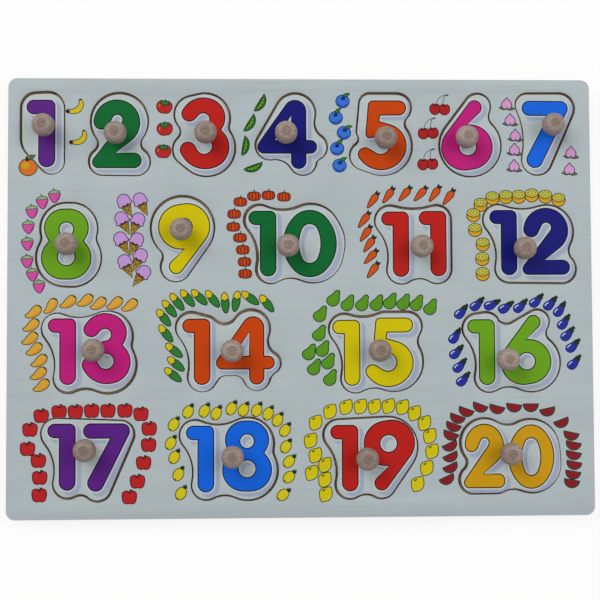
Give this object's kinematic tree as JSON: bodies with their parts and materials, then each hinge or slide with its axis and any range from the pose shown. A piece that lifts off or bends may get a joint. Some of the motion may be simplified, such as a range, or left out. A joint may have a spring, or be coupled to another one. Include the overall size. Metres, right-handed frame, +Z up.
{
  "type": "peg puzzle",
  "caption": "Flat wooden number puzzle: numeral tiles with small turned pegs lift out of matching pockets in a two-layer board.",
  "frame": {"origin": "middle of the board's underside, on the surface that it lies on", "axes": "+X along the board's long side towards the numeral 7, +Y towards the row of numerals from 1 to 7, +Z up out of the printed face"},
  "size_m": [0.3, 0.225, 0.02],
  "materials": {
    "plywood": "bare sanded plywood",
    "printed_panel": "plywood with a satin printed face",
    "printed_tile": "plywood with a satin printed face",
    "peg_wood": "turned and sanded hardwood"
  },
  "bodies": {
    "board": {"back_panel": "plywood", "frame_panel": "printed_panel"},
    "piece_1": {"number_tile_1": "printed_tile", "peg_1": "peg_wood"},
    "piece_2": {"number_tile_2": "printed_tile", "peg_2": "peg_wood"},
    "piece_3": {"number_tile_3": "printed_tile", "peg_3": "peg_wood"},
    "piece_4": {"number_tile_4": "printed_tile", "peg_4": "peg_wood"},
    "piece_5": {"number_tile_5": "printed_tile", "peg_5": "peg_wood"},
    "piece_6": {"number_tile_6": "printed_tile", "peg_6": "peg_wood"},
    "piece_7": {"number_tile_7": "printed_tile", "peg_7": "peg_wood"},
    "piece_8": {"number_tile_8": "printed_tile", "peg_8": "peg_wood"},
    "piece_9": {"number_tile_9": "printed_tile", "peg_9": "peg_wood"},
    "piece_10": {"number_tile_10": "printed_tile", "peg_10": "peg_wood"},
    "piece_11": {"number_tile_11": "printed_tile", "peg_11": "peg_wood"},
    "piece_12": {"number_tile_12": "printed_tile", "peg_12": "peg_wood"},
    "piece_13": {"number_tile_13": "printed_tile", "peg_13": "peg_wood"},
    "piece_14": {"number_tile_14": "printed_tile", "peg_14": "peg_wood"},
    "piece_15": {"number_tile_15": "printed_tile", "peg_15": "peg_wood"},
    "piece_16": {"number_tile_16": "printed_tile", "peg_16": "peg_wood"},
    "piece_17": {"number_tile_17": "printed_tile", "peg_17": "peg_wood"},
    "piece_18": {"number_tile_18": "printed_tile", "peg_18": "peg_wood"},
    "piece_19": {"number_tile_19": "printed_tile", "peg_19": "peg_wood"},
    "piece_20": {"number_tile_20": "printed_tile", "peg_20": "peg_wood"}
  },
  "joints": [
    {"name": "lift_1", "type": "slide", "parent": "board", "child": "piece_1", "axis": [0, 0, 1], "range_m": [0, 0.03]},
    {"name": "lift_2", "type": "slide", "parent": "board", "child": "piece_2", "axis": [0, 0, 1], "range_m": [0, 0.03]},
    {"name": "lift_3", "type": "slide", "parent": "board", "child": "piece_3", "axis": [0, 0, 1], "range_m": [0, 0.03]},
    {"name": "lift_4", "type": "slide", "parent": "board", "child": "piece_4", "axis": [0, 0, 1], "range_m": [0, 0.03]},
    {"name": "lift_5", "type": "slide", "parent": "board", "child": "piece_5", "axis": [0, 0, 1], "range_m": [0, 0.03]},
    {"name": "lift_6", "type": "slide", "parent": "board", "child": "piece_6", "axis": [0, 0, 1], "range_m": [0, 0.03]},
    {"name": "lift_7", "type": "slide", "parent": "board", "child": "piece_7", "axis": [0, 0, 1], "range_m": [0, 0.03]},
    {"name": "lift_8", "type": "slide", "parent": "board", "child": "piece_8", "axis": [0, 0, 1], "range_m": [0, 0.03]},
    {"name": "lift_9", "type": "slide", "parent": "board", "child": "piece_9", "axis": [0, 0, 1], "range_m": [0, 0.03]},
    {"name": "lift_10", "type": "slide", "parent": "board", "child": "piece_10", "axis": [0, 0, 1], "range_m": [0, 0.03]},
    {"name": "lift_11", "type": "slide", "parent": "board", "child": "piece_11", "axis": [0, 0, 1], "range_m": [0, 0.03]},
    {"name": "lift_12", "type": "slide", "parent": "board", "child": "piece_12", "axis": [0, 0, 1], "range_m": [0, 0.03]},
    {"name": "lift_13", "type": "slide", "parent": "board", "child": "piece_13", "axis": [0, 0, 1], "range_m": [0, 0.03]},
    {"name": "lift_14", "type": "slide", "parent": "board", "child": "piece_14", "axis": [0, 0, 1], "range_m": [0, 0.03]},
    {"name": "lift_15", "type": "slide", "parent": "board", "child": "piece_15", "axis": [0, 0, 1], "range_m": [0, 0.03]},
    {"name": "lift_16", "type": "slide", "parent": "board", "child": "piece_16", "axis": [0, 0, 1], "range_m": [0, 0.03]},
    {"name": "lift_17", "type": "slide", "parent": "board", "child": "piece_17", "axis": [0, 0, 1], "range_m": [0, 0.03]},
    {"name": "lift_18", "type": "slide", "parent": "board", "child": "piece_18", "axis": [0, 0, 1], "range_m": [0, 0.03]},
    {"name": "lift_19", "type": "slide", "parent": "board", "child": "piece_19", "axis": [0, 0, 1], "range_m": [0, 0.03]},
    {"name": "lift_20", "type": "slide", "parent": "board", "child": "piece_20", "axis": [0, 0, 1], "range_m": [0, 0.03]}
  ]
}
